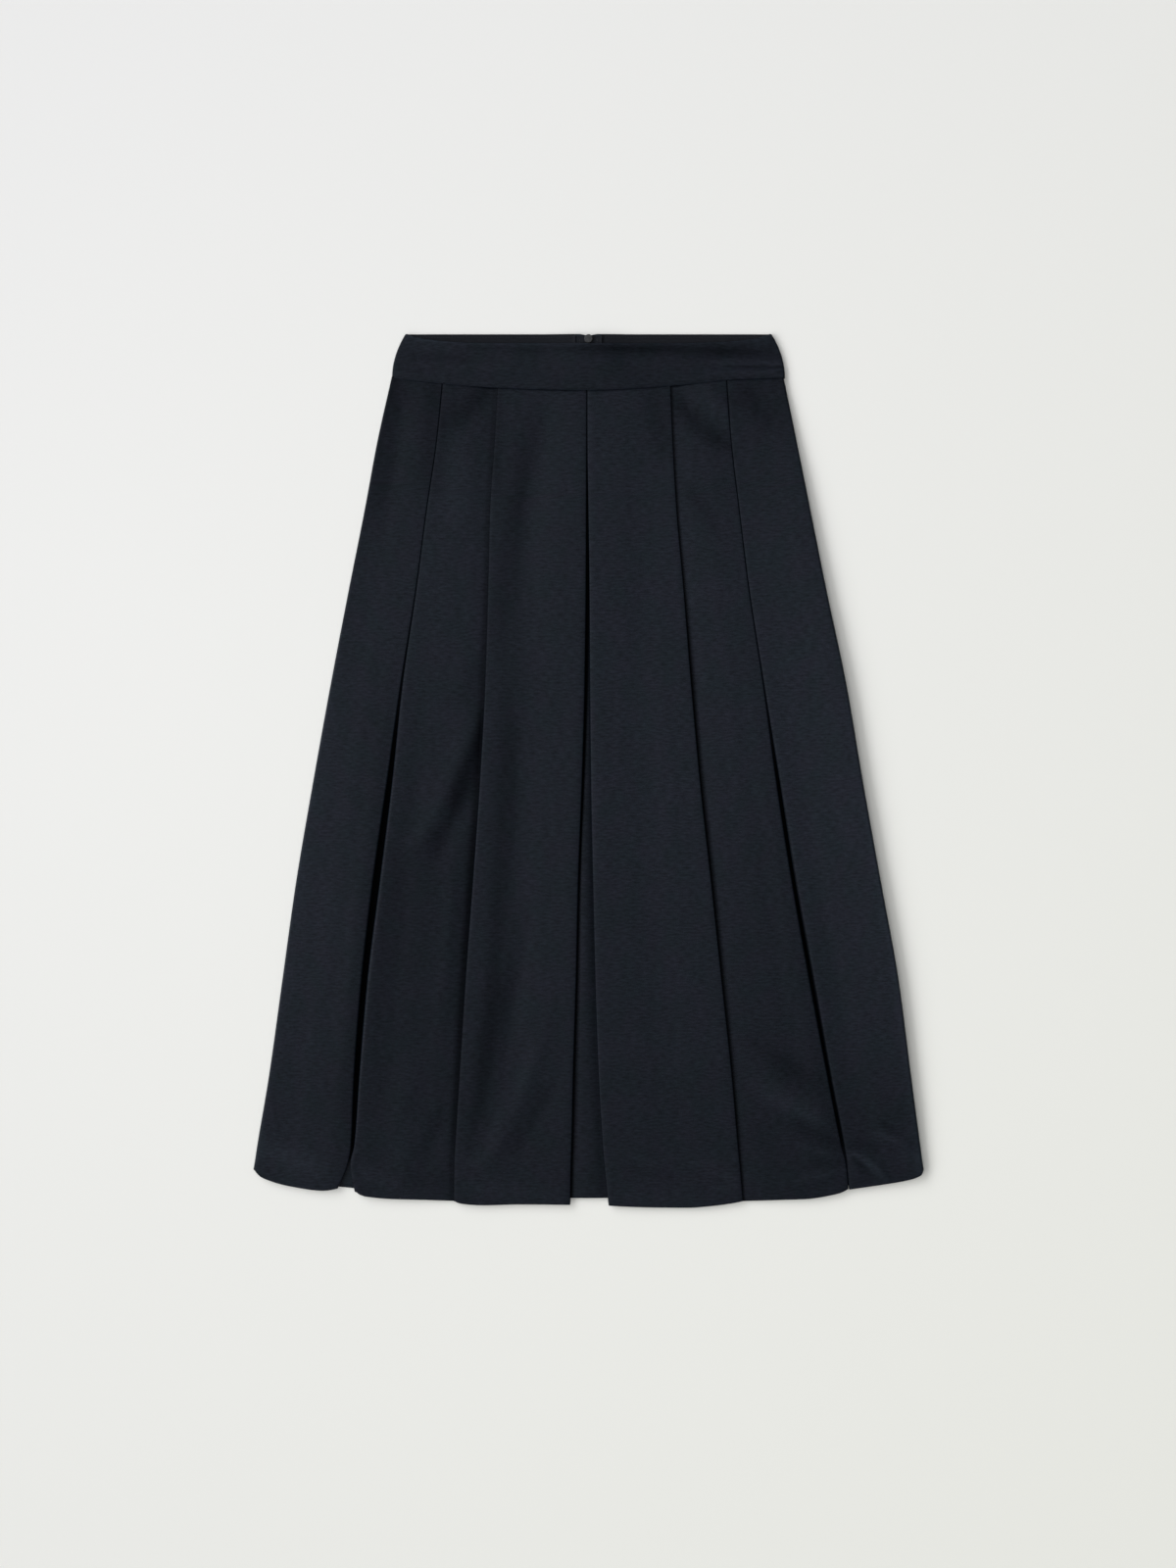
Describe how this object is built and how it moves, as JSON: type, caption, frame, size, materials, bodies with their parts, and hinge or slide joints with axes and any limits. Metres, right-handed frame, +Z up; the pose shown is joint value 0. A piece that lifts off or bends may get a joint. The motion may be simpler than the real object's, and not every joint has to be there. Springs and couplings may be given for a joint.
{
  "type": "flared skirt",
  "caption": "Flared midi skirt with deep front pleats and a shaped waistband, laid flat on its back, with a concealed centre-back zip.",
  "frame": {"origin": "under the middle of the laid-out skirt, on the surface that it lies on", "axes": "+Y from the hem towards the waist, +X towards the right of the skirt as laid out with its front up, +Z up from the surface"},
  "size_m": [0.616, 0.802, 0.0087],
  "materials": {
    "cloth": "dark navy satin-backed twill with fine crosswise slubs and a soft sheen",
    "facing": "near-black plain facing cloth, matt",
    "tape": "dark navy woven zip tape, matt",
    "metal": "dark grey enamelled zip metal, satin"
  },
  "bodies": {
    "skirt": {"front_skirt": "cloth", "back_skirt_left": "cloth", "back_skirt_right": "cloth", "front_waistband": "cloth", "back_waistband_left": "cloth", "back_waistband_right": "cloth", "back_facing_left": "facing", "back_facing_right": "facing", "zip_tape_left": "tape", "zip_tape_right": "tape", "zip_slider": "metal"},
    "pull_tab": {"zip_pull": "metal"}
  },
  "joints": [
    {"name": "pull_tab_swing", "type": "hinge", "parent": "skirt", "child": "pull_tab", "pos_m": [0, 0.39605, 0.00137], "axis": [1, 0, 0], "range_deg": [0, 170]}
  ]
}
